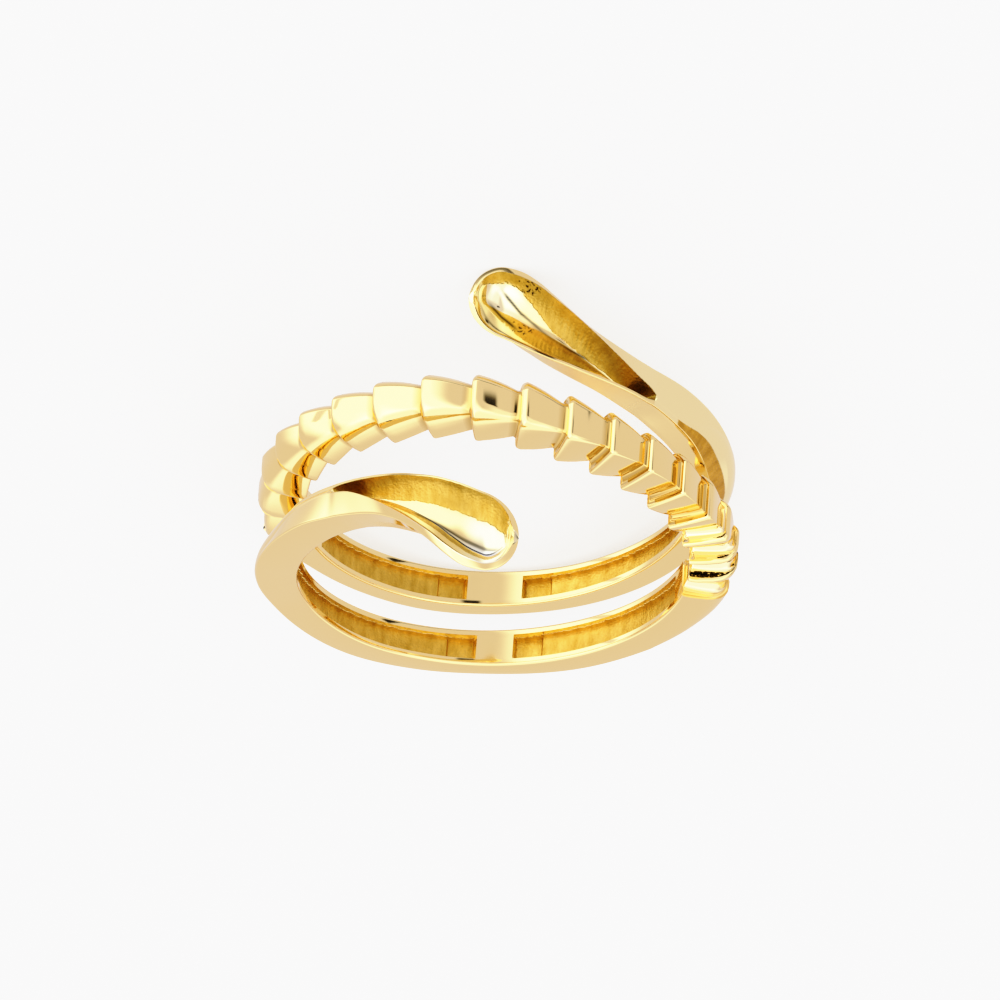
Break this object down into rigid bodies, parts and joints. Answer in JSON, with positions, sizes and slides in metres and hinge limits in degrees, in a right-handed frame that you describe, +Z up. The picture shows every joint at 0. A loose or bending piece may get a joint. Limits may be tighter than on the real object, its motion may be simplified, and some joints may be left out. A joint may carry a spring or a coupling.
{
  "type": "bypass wrap finger ring",
  "caption": "One-piece polished gold finger ring: a band wound twice round the finger, with scaled links over the top and a long hollow cup at each open end.",
  "frame": {"origin": "bottom centre of the bounding box, on the surface that the ring lies on", "axes": "+Z up from that surface; the finger hole's axis leans about 14 degrees from +Z towards +Y, because one cup props the ring up; -Y is the ring's twelve o'clock, where the cups and the scales are, and +Y is six o'clock, the plain bands under the finger"},
  "size_m": [0.0214, 0.0214, 0.0143],
  "materials": {
    "gold": "highly polished yellow gold, with the recesses left as cast"
  },
  "bodies": {
    "root": {"band": "gold"}
  },
  "joints": []
}
